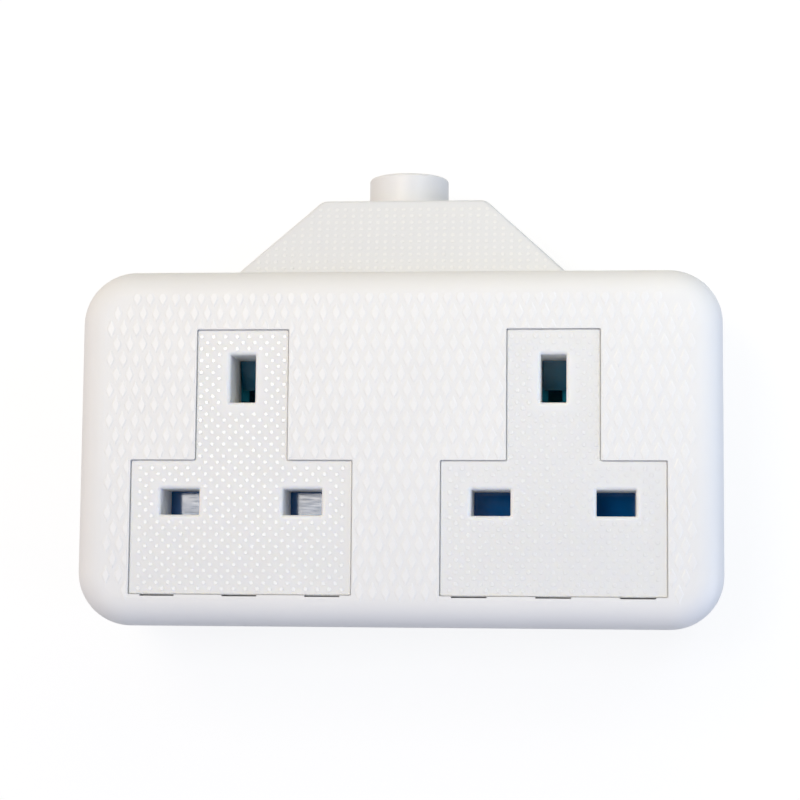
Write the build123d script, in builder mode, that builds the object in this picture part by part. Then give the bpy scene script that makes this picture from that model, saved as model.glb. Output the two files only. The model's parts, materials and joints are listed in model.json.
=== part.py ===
from build123d import *
import os
from math import atan, cos

# A two-gang trailing extension socket, lying on its back with its face up.
# +X is right on the face, +Y points at the cable entry and +Z is out of the face.
# The origin is the centre of the main body's back, and all sizes are in millimetres.

# Housing
body_length = 116.5
body_width = 64.5
body_height = 36.0
corner_radius = 9.7
edge_radius = 5.0
back_edge_radius = 1.5
parting_height = 12.0
seam_chamfer = 0.35
cover_wall = 2.4
cover_roof = 3.0
base_floor = 2.5
lip_wall = 1.6
lip_height = 3.0
fit_gap = 0.2

# Cable entry: the tapered neck and its round sleeve
neck_root_width = 60.4
neck_end_width = 30.4
neck_length = 14.35
neck_wall = 2.2
neck_corner_radius = 2.5
neck_edge_radius = 0.8
neck_below_edge = 0.5
neck_end_rise = 10.5
sleeve_axis_z = 15.0
sleeve_radius = 7.5
sleeve_bore_radius = 5.0
sleeve_reach = 5.9
sleeve_edge_radius = 0.6
flange_radius = 9.0
flange_thickness = 2.0
flange_gap = 0.3
flange_bed = 0.6
sleeve_rib_width = 20.0
sleeve_rib_thickness = 2.0
sleeve_rib_overlap = 3.0

# Socket layout and pins, as the plug standard gives them
socket_pitch = 56.0
pin_line_y = -10.0
pin_pitch = 22.23
pin_thickness = 4.0
earth_pin_width = 8.0
line_hole_width = 7.0
line_hole_height = 4.65
earth_hole_width = 4.56
earth_hole_height = 8.6
hole_corner_radius = 0.2
lead_in_radius = 0.7

# T-shaped socket inserts and the clip slots below them
bar_width = 40.0
bar_above_pins = 7.4
bar_below_pins = 16.5
stem_width = 16.5
stem_above_earth = 8.75
insert_recess = 0.4
insert_corner_radius = 0.25
insert_plate = 2.6
insert_rim = 1.5
insert_flange = 1.0
insert_flange_thickness = 1.8
insert_gap = 0.18
insert_seat_gap = 0.12
insert_edge_radius = 0.15
collar_wall = 1.0
clip_count = 3
clip_pitch = 14.9
clip_length = 6.3
clip_depth = 0.25
locating_rib_length = 4.5
locating_rib_gap = 0.05
locating_rib_below_face = 0.4
stem_rib_above_earth = 1.9

# Shutters, their springs and guides
shutter_depth = 10.0
shutter_thickness = 1.5
shutter_overlap = 0.45
shutter_pin_clearance = 0.125
shutter_arm = 2.0
wing_margin = 1.6
slide_gap = 0.2
ramp_margin = 0.3
ramp_side_gap = 0.08
ramp_end = 1.2
bridge_width = 1.2
spring_radius = 1.8
spring_wire = 0.5
spring_turns = 7
spring_seat_y = -1.0
spring_seat_wall = 1.5
spring_end_gap = 0.05
spring_nub_radius = 1.0
spring_nub_length = 1.2
spring_side_gap = 0.6
post_width = 3.0
post_thickness = 1.5
post_gap = 0.3
guide_floor = 1.2
guide_wall = 1.2
guide_gap = 0.3
guide_hole_margin = 0.2

# Brass contacts, strips and terminals
leaf_thickness = 0.8
leaf_half_gap = 2.6
throat_half_gap = 1.3
throat_depth = 14.8
leaf_bend = 4.0
leaf_top_gap = 0.7
line_leaf_width = 5.6
line_strip_depth = 21.5
earth_strip_depth = 24.5
strip_thickness = 1.0
strip_width = 3.5
strip_offset = 6.0
earth_strip_width = 5.6
riser_width = 3.0
riser_gap = 0.8
terminal_pitch = 10.5
terminal_size = 7.0
terminal_height = 8.0
terminal_edge = 0.4
terminal_y = 3.4
terminal_tab = 3.5
core_hole_radius = 1.8
core_hole_height = 3.2
terminal_screw_radius = 1.55
terminal_head_radius = 2.4
terminal_head_height = 1.8
thread_gap = 0.05

# Contact wells and strip supports in the base
well_wall = 1.4
well_gap = 0.3
rib_thickness = 2.0

# Cord clamp and case screws
clamp_y = 23.5
clamp_screw_pitch = 19.0
clamp_boss_radius = 3.75
clamp_above_axis = 3.0
clamp_below_axis = 4.2
clamp_bar_width = 7.0
clamp_bar_thickness = 3.0
clamp_bar_end = 3.5
clamp_tooth_length = 9.0
clamp_tooth_width = 2.0
clamp_tooth_depth = 1.2
screw_radius = 1.45
screw_head_radius = 2.9
screw_head_height = 2.0
screw_hole_radius = 1.75
clamp_screw_length = 14.0
case_screw_length = 20.0
case_screw_inset_x = 5.95
case_screw_inset_y = 6.75
pillar_radius = 4.0
cover_boss_radius = 3.0
head_recess_radius = 3.3
head_recess_depth = 4.0
screw_tip_room = 1.0
pillar_above_lip = 0.3
driver_slot_width = 0.7
driver_slot_depth = 0.9

# Levels worked out from the sizes above
face_z = body_height
roof_under_z = face_z - cover_roof
socket_face_z = face_z - insert_recess
insert_under_z = socket_face_z - insert_plate
insert_rim_z = roof_under_z - insert_flange_thickness
shutter_top_z = socket_face_z - shutter_depth
shutter_low_z = shutter_top_z - shutter_thickness
guide_top_z = shutter_low_z - slide_gap
guide_low_z = guide_top_z - guide_floor
ramp_low_z = guide_low_z + slide_gap + ramp_side_gap
contact_top_z = guide_low_z - leaf_top_gap
throat_z = socket_face_z - throat_depth
line_strip_z = socket_face_z - line_strip_depth
earth_strip_z = socket_face_z - earth_strip_depth
tray_wall = cover_wall + fit_gap + lip_wall
tray_top_z = parting_height + lip_height
pillar_top_z = tray_top_z + pillar_above_lip
clamp_seat_z = sleeve_axis_z + clamp_above_axis

# Places on the plan
sockets = {"left": -socket_pitch / 2, "right": socket_pitch / 2}
half_pitch = pin_pitch / 2
earth_y = pin_line_y + pin_pitch
edge_y = body_width / 2
neck_end_y = edge_y + neck_length
case_screw_x = body_length / 2 - case_screw_inset_x
case_screw_y = body_width / 2 - case_screw_inset_y

os.makedirs("parts", exist_ok=True)


def t_outline(grow, bottom_grow=None, radius=insert_corner_radius):
    """The T of a socket face, grown outwards, with its origin on the pin line."""
    low = grow if bottom_grow is None else bottom_grow
    half_bar = bar_width / 2 + grow
    half_stem = stem_width / 2 + grow
    bottom = -bar_below_pins - low
    shoulder = bar_above_pins + grow
    top = pin_pitch + stem_above_earth + grow
    with BuildSketch(mode=Mode.PRIVATE) as outline:
        with BuildLine():
            Polyline(
                (-half_bar, bottom),
                (half_bar, bottom),
                (half_bar, shoulder),
                (half_stem, shoulder),
                (half_stem, top),
                (-half_stem, top),
                (-half_stem, shoulder),
                (-half_bar, shoulder),
                close=True,
            )
        make_face()
        fillet(outline.vertices(), radius)
    return outline.sketch


def pin_holes(grow):
    """The three pin holes of one socket, grown outwards, with their origin on the pin line."""
    radius = hole_corner_radius + grow
    with BuildSketch(mode=Mode.PRIVATE) as holes:
        with Locations((-half_pitch, 0), (half_pitch, 0)):
            RectangleRounded(line_hole_width + 2 * grow, line_hole_height + 2 * grow, radius)
        with Locations((0, pin_pitch)):
            RectangleRounded(earth_hole_width + 2 * grow, earth_hole_height + 2 * grow, radius)
    return holes.sketch


def socket_plane(x, z):
    """A plane across one socket, with its origin on the pin line."""
    return Plane((x, pin_line_y, z))


def body_outline(inset):
    """The main body's plan outline, moved inwards."""
    with BuildSketch(mode=Mode.PRIVATE) as outline:
        RectangleRounded(body_length - 2 * inset, body_width - 2 * inset, corner_radius - inset)
    return outline.sketch


# Front cover: a lid with rounded edges, two T openings and a notch for the neck
neck_root_z = face_z - edge_radius - neck_below_edge
neck_end_z = sleeve_axis_z + neck_end_rise

with BuildPart() as front_cover:
    with BuildSketch(Plane.XY.offset(parting_height)):
        add(body_outline(0))
    extrude(amount=face_z - parting_height)
    fillet(front_cover.faces().sort_by(Axis.Z)[-1].edges(), edge_radius)
    chamfer(front_cover.faces().sort_by(Axis.Z)[0].edges(), seam_chamfer)
    with BuildSketch(Plane.XY.offset(parting_height)):
        add(body_outline(cover_wall))
    extrude(amount=roof_under_z - parting_height, mode=Mode.SUBTRACT)
    with BuildSketch(Plane.XY.offset(pillar_top_z)):
        with GridLocations(2 * case_screw_x, 2 * case_screw_y, 2, 2):
            Circle(cover_boss_radius)
    extrude(amount=roof_under_z - pillar_top_z)
    pilot_depth = head_recess_depth + case_screw_length + screw_tip_room - pillar_top_z
    with BuildSketch(Plane.XY.offset(pillar_top_z)):
        with GridLocations(2 * case_screw_x, 2 * case_screw_y, 2, 2):
            Circle(screw_radius + thread_gap)
    extrude(amount=pilot_depth, mode=Mode.SUBTRACT)
    for socket_x in sockets.values():
        with BuildSketch(socket_plane(socket_x, roof_under_z)):
            add(t_outline(insert_gap, insert_seat_gap))
        extrude(amount=cover_roof, mode=Mode.SUBTRACT)
        clip_y = pin_line_y - bar_below_pins - insert_seat_gap
        with BuildSketch(Plane((socket_x, clip_y, roof_under_z))):
            with GridLocations(clip_pitch, 1, clip_count, 1):
                Rectangle(clip_length, clip_depth, align=(Align.CENTER, Align.MAX))
        extrude(amount=cover_roof, mode=Mode.SUBTRACT)
    with BuildSketch(Plane((0, edge_y - cover_wall / 2, parting_height))):
        Rectangle(neck_root_width + 2 * fit_gap, cover_wall)
    extrude(amount=neck_root_z + fit_gap - parting_height, mode=Mode.SUBTRACT)
front_cover.part.label = "front_cover"
export_step(front_cover.part, "parts/front_cover.step")

# Neck: a wedge with slanting sides and a sloping top face, hollow inside
tray_inner_y = edge_y - tray_wall
neck_slope = (neck_root_z - neck_end_z) / neck_length
neck_roof = neck_wall / cos(atan(neck_slope))
neck_bottom_z = sleeve_axis_z - flange_radius - flange_bed - neck_wall
neck_floor_z = neck_bottom_z + neck_wall
half_root = neck_root_width / 2
half_end = neck_end_width / 2

with BuildSketch() as neck_plan:
    with BuildLine():
        Polyline(
            (-half_root, tray_inner_y),
            (half_root, tray_inner_y),
            (half_root, edge_y),
            (half_end, neck_end_y),
            (-half_end, neck_end_y),
            (-half_root, edge_y),
            close=True,
        )
    make_face()
    fillet(neck_plan.vertices().group_by(Axis.Y)[-1], neck_corner_radius)

with BuildPart() as neck_outside:
    add(extrude(neck_plan.sketch, amount=neck_root_z, mode=Mode.PRIVATE))
    with BuildSketch(Plane.YZ):
        with BuildLine():
            Polyline(
                (tray_inner_y, neck_bottom_z),
                (neck_end_y, neck_bottom_z),
                (neck_end_y, neck_end_z),
                (edge_y, neck_root_z),
                (tray_inner_y, neck_root_z),
                close=True,
            )
        make_face()
    extrude(amount=half_root, both=True, mode=Mode.INTERSECT)
    slope_face = neck_outside.faces().filter_by(lambda f: f.normal_at().Z > 0.5).sort_by(Axis.Y)[-1]
    fillet(slope_face.edges().sort_by(Axis.Y)[1:], neck_edge_radius)
    under_face = neck_outside.faces().sort_by(Axis.Z)[0]
    fillet(under_face.edges().filter_by(lambda e: e.center().Y > edge_y), neck_edge_radius)

with BuildSketch() as neck_hollow_plan:
    offset(neck_plan.sketch, amount=-neck_wall)
    with Locations((0, tray_inner_y)):
        Rectangle(neck_root_width - 2 * neck_wall, 2 * neck_wall + 2 * fit_gap)

with BuildPart() as neck_hollow:
    add(extrude(neck_hollow_plan.sketch, amount=neck_root_z, mode=Mode.PRIVATE))
    with BuildSketch(Plane.YZ):
        with BuildLine():
            Polyline(
                (tray_inner_y - 2 * neck_wall, neck_floor_z),
                (neck_end_y, neck_floor_z),
                (neck_end_y, neck_end_z - neck_roof),
                (edge_y, neck_root_z - neck_roof),
                (tray_inner_y - 2 * neck_wall, neck_root_z - neck_roof),
                close=True,
            )
        make_face()
    extrude(amount=half_root, both=True, mode=Mode.INTERSECT)

# Where the brass strips run
line_x = [x + half_pitch for x in sockets.values()]
neutral_x = [x - half_pitch for x in sockets.values()]
line_strip_y = pin_line_y - strip_offset - strip_width / 2
neutral_strip_y = pin_line_y + strip_offset + strip_width / 2
line_well_x = line_leaf_width + 2 * well_gap
line_well_y = 2 * (leaf_half_gap + leaf_thickness + well_gap)
earth_well_x = 2 * (leaf_half_gap + leaf_thickness + well_gap)
earth_well_y = earth_hole_height + 2 * well_gap
riser_x = neutral_x[1] + line_well_x / 2 + well_wall + riser_gap + riser_width / 2
strip_end = line_leaf_width / 2
line_strip_low_z = line_strip_z - strip_thickness
earth_strip_low_z = earth_strip_z - strip_thickness

# Rear base: tray, neck, contact wells, strip supports, clamp bosses and screw pillars
with BuildPart() as rear_base:
    with BuildSketch():
        add(body_outline(0))
    extrude(amount=parting_height)
    fillet(rear_base.faces().sort_by(Axis.Z)[0].edges(), back_edge_radius)
    chamfer(rear_base.faces().sort_by(Axis.Z)[-1].edges(), seam_chamfer)
    with BuildSketch(Plane.XY.offset(parting_height)):
        add(body_outline(cover_wall + fit_gap))
    extrude(amount=lip_height)
    with BuildSketch(Plane.XY.offset(base_floor)):
        add(body_outline(tray_wall))
    extrude(amount=tray_top_z - base_floor, mode=Mode.SUBTRACT)
    add(neck_outside.part)
    add(neck_hollow.part, mode=Mode.SUBTRACT)
    with BuildSketch(Plane.XZ.offset(-neck_end_y)):
        with Locations((0, sleeve_axis_z)):
            Circle(sleeve_radius + fit_gap / 2)
    extrude(amount=2 * neck_wall, mode=Mode.SUBTRACT)
    rib_front_y = neck_end_y - neck_wall - flange_thickness - flange_gap
    with BuildSketch(Plane.XY.offset(neck_bottom_z)):
        with Locations((0, rib_front_y)):
            Rectangle(sleeve_rib_width, sleeve_rib_thickness, align=(Align.CENTER, Align.MAX))
    extrude(amount=neck_wall + flange_bed + sleeve_rib_overlap)
    for socket_x in sockets.values():
        with BuildSketch(Plane.XY.offset(base_floor)):
            with Locations((socket_x - half_pitch, pin_line_y), (socket_x + half_pitch, pin_line_y)):
                Rectangle(line_well_x + 2 * well_wall, line_well_y + 2 * well_wall)
                Rectangle(line_well_x, line_well_y, mode=Mode.SUBTRACT)
            with Locations((socket_x, earth_y)):
                Rectangle(earth_well_x + 2 * well_wall, earth_well_y + 2 * well_wall)
                Rectangle(earth_well_x, earth_well_y, mode=Mode.SUBTRACT)
        extrude(amount=guide_low_z - base_floor)
    well_reach = line_well_y / 2 + well_wall
    with BuildSketch(Plane.XY.offset(line_strip_low_z)):
        with Locations(*[(x, pin_line_y) for x in line_x]):
            Rectangle(line_leaf_width + fit_gap, well_reach, align=(Align.CENTER, Align.MAX))
        with Locations(*[(x, pin_line_y) for x in neutral_x]):
            Rectangle(line_leaf_width + fit_gap, well_reach, align=(Align.CENTER, Align.MIN))
    extrude(amount=guide_low_z - line_strip_low_z, mode=Mode.SUBTRACT)
    with BuildSketch(Plane.XY.offset(earth_strip_low_z)):
        with Locations((0, earth_y)):
            Rectangle(socket_pitch, earth_strip_width + fit_gap)
    extrude(amount=guide_low_z - earth_strip_low_z, mode=Mode.SUBTRACT)
    with BuildSketch(Plane.XY.offset(base_floor)):
        with Locations((-socket_pitch / 2, neutral_strip_y), (0, neutral_strip_y)):
            Rectangle(rib_thickness, strip_width)
        with Locations((0, line_strip_y), (socket_pitch / 2, line_strip_y)):
            Rectangle(rib_thickness, strip_width)
        with Locations((-terminal_pitch, terminal_y), (terminal_pitch, terminal_y)):
            Rectangle(terminal_tab, terminal_tab)
    extrude(amount=line_strip_low_z - base_floor)
    with BuildSketch(Plane.XY.offset(base_floor)):
        with GridLocations(2 * terminal_pitch, 1, 2, 1):
            with Locations((0, earth_y)):
                Rectangle(rib_thickness, earth_strip_width)
    extrude(amount=earth_strip_low_z - base_floor)
    with BuildSketch(Plane.XY.offset(base_floor)):
        with Locations((0, clamp_y)):
            with GridLocations(clamp_screw_pitch, 1, 2, 1):
                Circle(clamp_boss_radius)
    extrude(amount=clamp_seat_z - base_floor)
    with BuildSketch(Plane.XY.offset(base_floor)):
        with Locations((0, clamp_y)):
            Rectangle(clamp_screw_pitch, clamp_tooth_width)
    extrude(amount=sleeve_axis_z - clamp_below_axis - base_floor)
    with BuildSketch(Plane.XY.offset(clamp_seat_z)):
        with Locations((0, clamp_y)):
            with GridLocations(clamp_screw_pitch, 1, 2, 1):
                Circle(screw_radius + thread_gap)
    extrude(amount=clamp_bar_thickness - clamp_screw_length - screw_tip_room, mode=Mode.SUBTRACT)
    with BuildSketch():
        with GridLocations(2 * case_screw_x, 2 * case_screw_y, 2, 2):
            Circle(pillar_radius)
        add(body_outline(cover_wall + fit_gap), mode=Mode.INTERSECT)
    extrude(amount=pillar_top_z)
    with BuildSketch():
        with GridLocations(2 * case_screw_x, 2 * case_screw_y, 2, 2):
            Circle(screw_hole_radius)
    extrude(amount=pillar_top_z, mode=Mode.SUBTRACT)
    with BuildSketch():
        with GridLocations(2 * case_screw_x, 2 * case_screw_y, 2, 2):
            Circle(head_recess_radius)
    extrude(amount=head_recess_depth, mode=Mode.SUBTRACT)
rear_base.part.label = "rear_base"
export_step(rear_base.part, "parts/rear_base.step")

# Cord sleeve: a flanged tube held in the end of the neck
flange_back_y = neck_end_y - neck_wall - flange_thickness
with BuildPart() as cord_sleeve:
    with BuildSketch(Plane.XZ.offset(-flange_back_y)):
        with Locations((0, sleeve_axis_z)):
            Circle(flange_radius)
    extrude(amount=-flange_thickness)
    with BuildSketch(Plane.XZ.offset(-flange_back_y)):
        with Locations((0, sleeve_axis_z)):
            Circle(sleeve_radius)
    extrude(amount=-(neck_end_y + sleeve_reach - flange_back_y))
    fillet(cord_sleeve.faces().sort_by(Axis.Y)[-1].edges(), sleeve_edge_radius)
    with BuildSketch(Plane.XZ.offset(-flange_back_y)):
        with Locations((0, sleeve_axis_z)):
            Circle(sleeve_bore_radius)
    extrude(amount=-(neck_end_y + sleeve_reach - flange_back_y), mode=Mode.SUBTRACT)
cord_sleeve.part.label = "cord_sleeve"
export_step(cord_sleeve.part, "parts/cord_sleeve.step")

# Shutter shape on the plan, measured from the pin line
wing_edge = line_hole_height / 2 + shutter_overlap
wing_half = half_pitch + line_hole_width / 2 + wing_margin
shutter_travel = wing_edge + pin_thickness / 2 + shutter_pin_clearance
pin_side = pin_thickness / 2 + spring_side_gap
arm_half = pin_side + shutter_arm
ramp_low_y = pin_pitch + earth_pin_width / 2 - shutter_travel
ramp_high_y = pin_pitch + earth_hole_height / 2 + ramp_margin
ramp_end_y = ramp_high_y + ramp_end
ramp_half = earth_hole_width / 2 - ramp_side_gap
bridge_top = pin_pitch - earth_pin_width / 2 - shutter_travel - slide_gap
bridge_low = bridge_top - bridge_width
post_top = bridge_low - post_gap
post_low = post_top - post_thickness
window_half = spring_radius + spring_side_gap
spring_axis_z = guide_top_z + spring_radius + slide_gap
spring_top_z = spring_axis_z + spring_radius
spring_length = post_low - spring_seat_y - 2 * spring_end_gap - spring_wire
print("shutter travel", round(shutter_travel, 3))

for side, socket_x in sockets.items():
    # Socket insert: a T plate with a rim, a flange behind the cover and collars around the pin holes
    with BuildPart() as insert:
        with BuildSketch(socket_plane(socket_x, insert_rim_z)):
            add(t_outline(0))
        extrude(amount=socket_face_z - insert_rim_z)
        fillet(insert.faces().sort_by(Axis.Z)[-1].edges(), insert_edge_radius)
        with BuildSketch(socket_plane(socket_x, insert_rim_z)):
            add(t_outline(insert_flange, radius=insert_corner_radius + insert_flange))
        extrude(amount=insert_flange_thickness)
        with BuildSketch(socket_plane(socket_x, insert_rim_z)):
            add(t_outline(-insert_rim))
        extrude(amount=insert_under_z - insert_rim_z, mode=Mode.SUBTRACT)
        with BuildSketch(socket_plane(socket_x, shutter_top_z + slide_gap)):
            add(pin_holes(collar_wall))
        extrude(amount=insert_under_z - shutter_top_z - slide_gap)
        with BuildSketch(socket_plane(socket_x, shutter_top_z)):
            add(pin_holes(0))
        extrude(amount=shutter_depth, mode=Mode.SUBTRACT)
        socket_face = insert.faces().sort_by(Axis.Z)[-1]
        fillet([edge for wire in socket_face.inner_wires() for edge in wire.edges()], lead_in_radius)
        rib_reach = insert_gap - locating_rib_gap
        with BuildSketch(socket_plane(socket_x, roof_under_z)):
            with GridLocations(bar_width + rib_reach, 1, 2, 1):
                Rectangle(rib_reach, locating_rib_length)
            with Locations((0, pin_pitch + stem_rib_above_earth)):
                with GridLocations(stem_width + rib_reach, 1, 2, 1):
                    Rectangle(rib_reach, locating_rib_length)
        extrude(amount=socket_face_z - locating_rib_below_face - roof_under_z)
    insert.part.label = f"{side}_socket_insert"
    export_step(insert.part, f"parts/{side}_socket_insert.step")

    # Shutter: two wings over the lower holes, arms around the earth pin and a ramp for it to push
    with BuildPart() as shutter:
        with BuildSketch(socket_plane(socket_x, shutter_low_z)):
            Rectangle(2 * wing_half, 2 * wing_edge)
            with Locations((0, -wing_edge)):
                Rectangle(2 * arm_half, ramp_end_y + wing_edge, align=(Align.CENTER, Align.MIN))
            with Locations((0, spring_seat_y)):
                window_height = bridge_low - spring_seat_y
                Rectangle(2 * window_half, window_height, align=(Align.CENTER, Align.MIN), mode=Mode.SUBTRACT)
            with Locations((0, bridge_top)):
                slot_height = ramp_end_y - bridge_top
                Rectangle(2 * pin_side, slot_height, align=(Align.CENTER, Align.MIN), mode=Mode.SUBTRACT)
        extrude(amount=shutter_thickness)
        with BuildSketch(Plane((socket_x, pin_line_y, 0), x_dir=(0, 1, 0), z_dir=(1, 0, 0))):
            with BuildLine():
                Polyline(
                    (ramp_low_y, ramp_low_z),
                    (ramp_high_y, shutter_top_z),
                    (ramp_end_y, shutter_top_z),
                    (ramp_end_y, ramp_low_z),
                    close=True,
                )
            make_face()
        extrude(amount=ramp_half, both=True)
        with BuildSketch(socket_plane(socket_x, shutter_low_z)):
            with Locations((0, ramp_end_y)):
                Rectangle(2 * arm_half, ramp_end, align=(Align.CENTER, Align.MAX))
        extrude(amount=shutter_thickness)
        with BuildSketch(socket_plane(socket_x, shutter_low_z)):
            with Locations((0, spring_seat_y)):
                Rectangle(2 * window_half, spring_seat_wall, align=(Align.CENTER, Align.MAX))
        extrude(amount=spring_top_z - shutter_low_z)
        with BuildSketch(Plane.XZ.offset(-pin_line_y - spring_seat_y)):
            with Locations((socket_x, spring_axis_z)):
                Circle(spring_nub_radius)
        extrude(amount=-spring_nub_length)
    shutter.part.label = f"{side}_shutter"
    export_step(shutter.part, f"parts/{side}_shutter.step")

    # Shutter guide: a T tray that carries the shutter, with a post for its spring
    with BuildPart() as guide:
        guide_inset = insert_rim + guide_gap
        with BuildSketch(socket_plane(socket_x, guide_low_z)):
            add(t_outline(-guide_inset))
        extrude(amount=insert_under_z - guide_low_z)
        with BuildSketch(socket_plane(socket_x, guide_top_z)):
            add(t_outline(-guide_inset - guide_wall))
        extrude(amount=insert_under_z - guide_top_z, mode=Mode.SUBTRACT)
        with BuildSketch(socket_plane(socket_x, guide_top_z)):
            with Locations((0, wing_edge)):
                wing_room = shutter_travel + 2 * guide_gap
                Rectangle(bar_width, wing_room, align=(Align.CENTER, Align.MIN))
            with Locations((0, pin_pitch + earth_hole_height / 2)):
                Rectangle(2 * arm_half + 2 * guide_gap, stem_above_earth, align=(Align.CENTER, Align.MIN))
        extrude(amount=insert_under_z - guide_top_z, mode=Mode.SUBTRACT)
        with BuildSketch(socket_plane(socket_x, guide_low_z)):
            add(pin_holes(guide_hole_margin))
            with Locations((0, pin_pitch)):
                Rectangle(earth_hole_width + 2 * guide_hole_margin, stem_width, align=(Align.CENTER, Align.MIN))
        extrude(amount=guide_floor, mode=Mode.SUBTRACT)
        with BuildSketch(socket_plane(socket_x, guide_top_z)):
            with Locations((0, post_low)):
                Rectangle(post_width, post_thickness, align=(Align.CENTER, Align.MIN))
        extrude(amount=spring_top_z - guide_top_z)
        with BuildSketch(Plane.XZ.offset(-pin_line_y - post_low)):
            with Locations((socket_x, spring_axis_z)):
                Circle(spring_nub_radius)
        extrude(amount=spring_nub_length)
    guide.part.label = f"{side}_shutter_guide"
    export_step(guide.part, f"parts/{side}_shutter_guide.step")

    # Shutter spring: a coil between the shutter and the guide's post
    with BuildPart() as spring:
        with BuildLine() as coil:
            Helix(
                pitch=spring_length / spring_turns,
                height=spring_length,
                radius=spring_radius - spring_wire / 2,
                center=(
                    socket_x,
                    pin_line_y + spring_seat_y + spring_end_gap + spring_wire / 2,
                    spring_axis_z,
                ),
                direction=(0, 1, 0),
            )
        with BuildSketch(Plane(origin=coil.line @ 0, z_dir=coil.line % 0)):
            Circle(spring_wire / 2)
        sweep(is_frenet=True)
    spring.part.label = f"{side}_shutter_spring"
    export_step(spring.part, f"parts/{side}_shutter_spring.step")


def leaf_profile(strip_top):
    """Section of a pair of spring leaves that stand on a strip, with the pin between them."""
    with BuildSketch(mode=Mode.PRIVATE) as leaves:
        for turn in (1, -1):
            inside = [
                (turn * leaf_half_gap, strip_top),
                (turn * leaf_half_gap, throat_z - leaf_bend),
                (turn * throat_half_gap, throat_z),
                (turn * leaf_half_gap, contact_top_z),
            ]
            outside = [(y + turn * leaf_thickness, z) for y, z in inside]
            with BuildLine():
                Polyline(*inside, *reversed(outside), close=True)
            make_face()
    return leaves.sketch


def line_leaves(x):
    """Spring leaves of a line or neutral contact, gripping the pin on its flat sides."""
    with BuildPart(mode=Mode.PRIVATE) as leaves:
        with BuildSketch(Plane((x, pin_line_y, 0), x_dir=(0, 1, 0), z_dir=(1, 0, 0))):
            add(leaf_profile(line_strip_z))
        extrude(amount=line_leaf_width / 2, both=True)
    return leaves.part


def earth_leaves(x):
    """Spring leaves of an earth contact, gripping the pin on its flat sides."""
    with BuildPart(mode=Mode.PRIVATE) as leaves:
        with BuildSketch(Plane((x, earth_y, 0), x_dir=(1, 0, 0), z_dir=(0, -1, 0))):
            add(leaf_profile(earth_strip_z))
        extrude(amount=earth_strip_width / 2, both=True)
    return leaves.part


leaf_reach = leaf_half_gap + leaf_thickness

# Line busbar: a strip below the contacts, with a riser to its terminal
with BuildPart() as line_busbar:
    with BuildSketch(Plane.XY.offset(line_strip_low_z)):
        with Locations((half_pitch, line_strip_y)):
            Rectangle(socket_pitch + 2 * strip_end, strip_width)
        for x in line_x:
            with Locations((x, line_strip_y)):
                tab = pin_line_y + leaf_reach - line_strip_y
                Rectangle(line_leaf_width, tab, align=(Align.CENTER, Align.MIN))
        with Locations((riser_x, line_strip_y)):
            rise = terminal_y + terminal_tab / 2 - line_strip_y
            Rectangle(riser_width, rise, align=(Align.CENTER, Align.MIN))
        with Locations((riser_x + riser_width / 2, terminal_y)):
            run = riser_x + riser_width / 2 - terminal_pitch + terminal_size / 2
            Rectangle(run, terminal_tab, align=(Align.MAX, Align.CENTER))
    extrude(amount=strip_thickness)
    for x in line_x:
        add(line_leaves(x))
line_busbar.part.label = "line_busbar"
export_step(line_busbar.part, "parts/line_busbar.step")

# Neutral busbar: a strip above the contacts, with a tab to its terminal
with BuildPart() as neutral_busbar:
    with BuildSketch(Plane.XY.offset(line_strip_low_z)):
        with Locations((-half_pitch, neutral_strip_y)):
            Rectangle(socket_pitch + 2 * strip_end, strip_width)
        for x in neutral_x:
            with Locations((x, neutral_strip_y)):
                tab = neutral_strip_y - pin_line_y + leaf_reach
                Rectangle(line_leaf_width, tab, align=(Align.CENTER, Align.MAX))
        with Locations((-terminal_pitch, neutral_strip_y)):
            rise = terminal_y + terminal_size / 2 - neutral_strip_y
            Rectangle(terminal_tab, rise, align=(Align.CENTER, Align.MIN))
    extrude(amount=strip_thickness)
    for x in neutral_x:
        add(line_leaves(x))
neutral_busbar.part.label = "neutral_busbar"
export_step(neutral_busbar.part, "parts/neutral_busbar.step")

# Earth busbar: a straight strip between the two earth contacts
with BuildPart() as earth_busbar:
    with BuildSketch(Plane.XY.offset(earth_strip_low_z)):
        with Locations((0, earth_y)):
            Rectangle(socket_pitch + 2 * leaf_reach, earth_strip_width)
    extrude(amount=strip_thickness)
    for socket_x in sockets.values():
        add(earth_leaves(socket_x))
earth_busbar.part.label = "earth_busbar"
export_step(earth_busbar.part, "parts/earth_busbar.step")

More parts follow.
